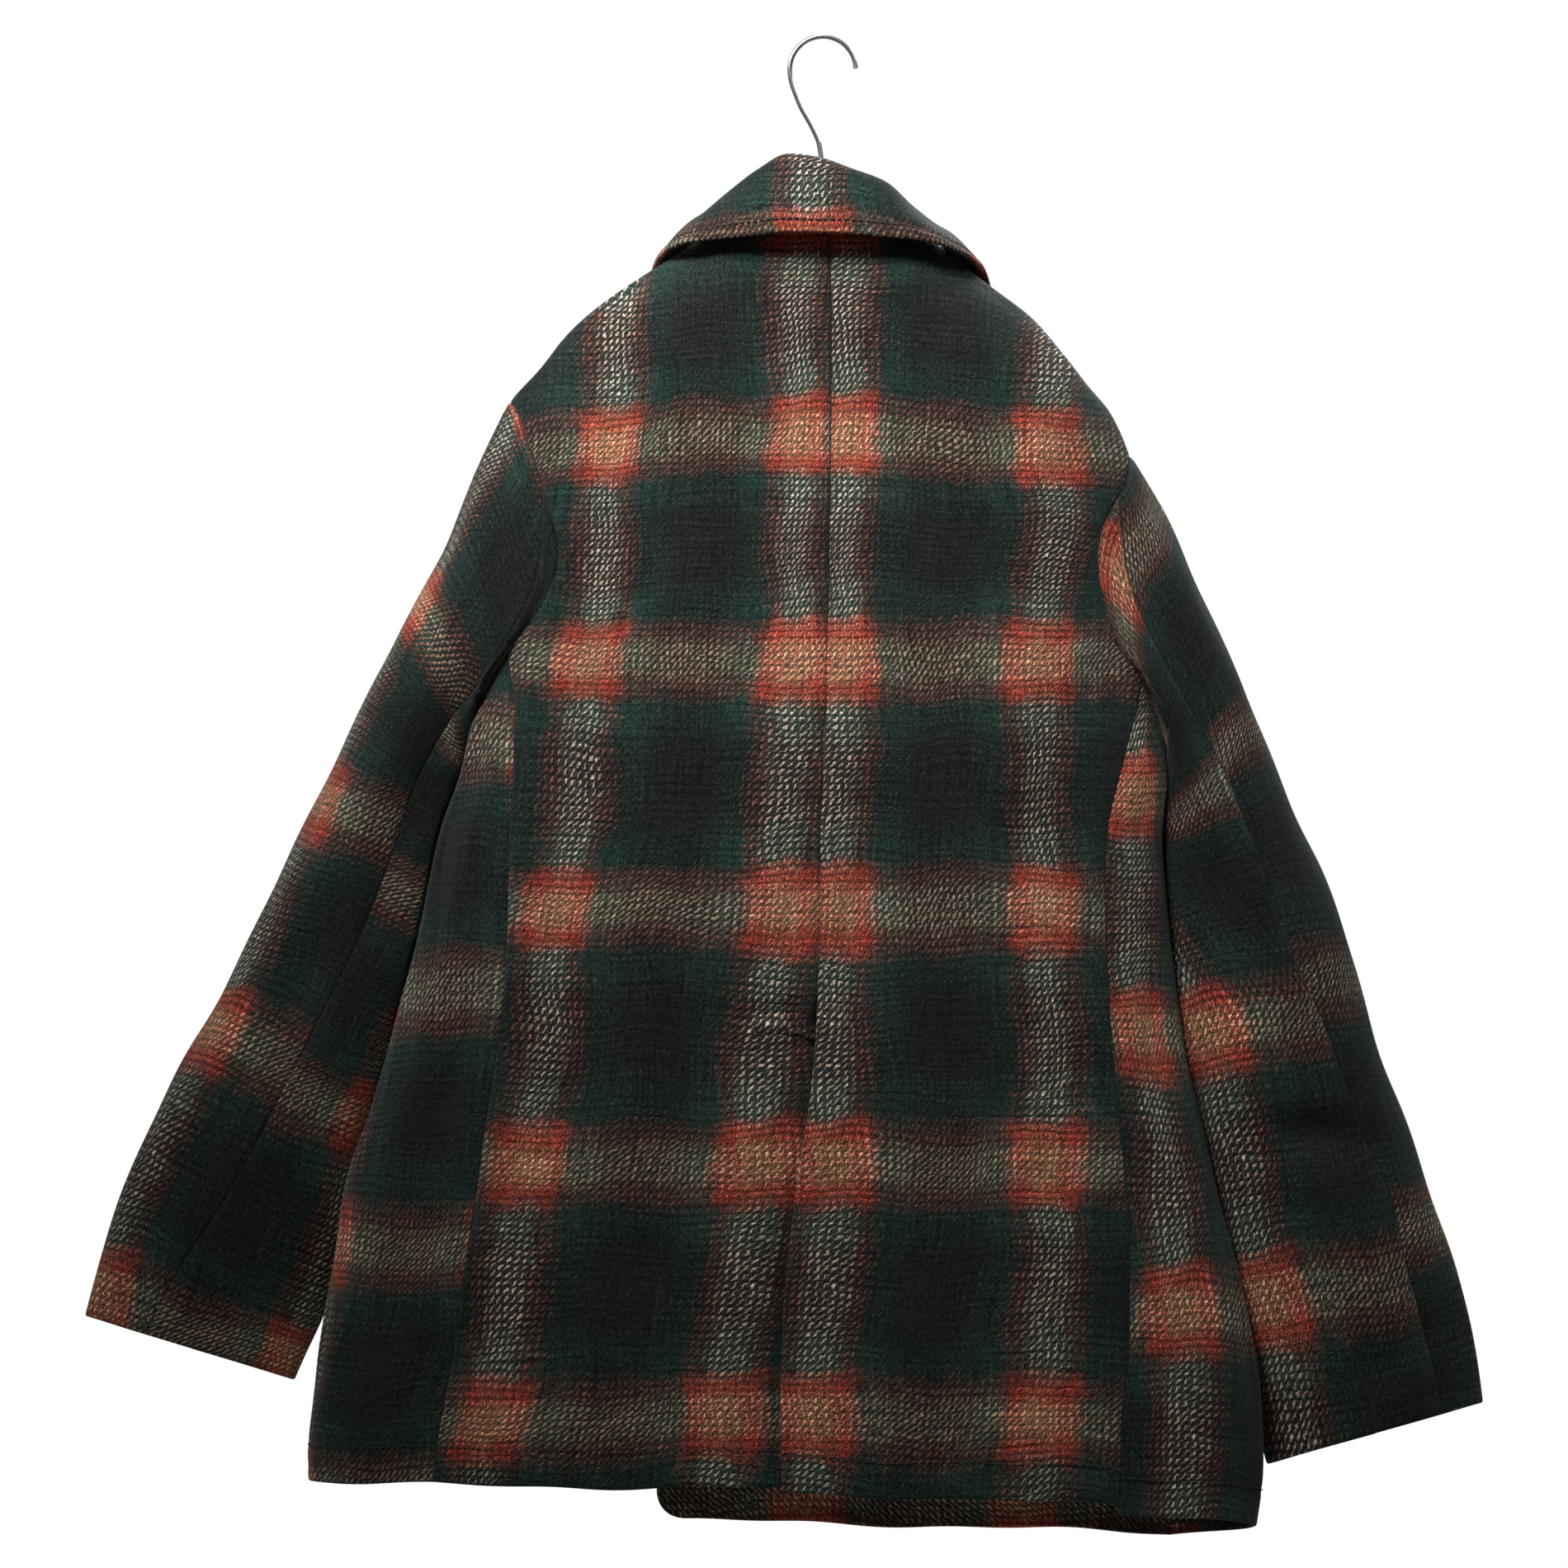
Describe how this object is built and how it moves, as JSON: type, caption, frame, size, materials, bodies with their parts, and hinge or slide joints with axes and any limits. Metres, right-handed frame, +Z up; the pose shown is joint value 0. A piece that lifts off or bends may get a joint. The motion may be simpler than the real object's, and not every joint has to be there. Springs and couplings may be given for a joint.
{
  "type": "checked wool coat on a hanger",
  "caption": "Thick brushed wool coat in a dark shadow check, with a wide fold-down collar and a back vent, hanging buttoned on a shaped hanger with a steel hook.",
  "frame": {"origin": "inner top of the hanger's hook, where it bears on a rail", "axes": "+Z up, -Y the coat's front, +Y its back, +X the wearer's left"},
  "size_m": [0.8522, 0.1331, 0.9142],
  "materials": {
    "wool": "matte brushed twill",
    "horn": "satin",
    "hanger_wood": "satin",
    "hook_steel": "brushed"
  },
  "bodies": {
    "root": {"back_left": "wool", "back_right": "wool", "side_left": "wool", "side_right": "wool", "front_left": "wool", "front_right": "wool", "sleeve_left_upper": "wool", "sleeve_left_under": "wool", "sleeve_right_upper": "wool", "sleeve_right_under": "wool", "collar": "wool", "button_1": "horn", "button_2": "horn", "button_3": "horn", "button_4": "horn", "hanger_body": "hanger_wood", "hanger_hook": "hook_steel"}
  },
  "joints": []
}
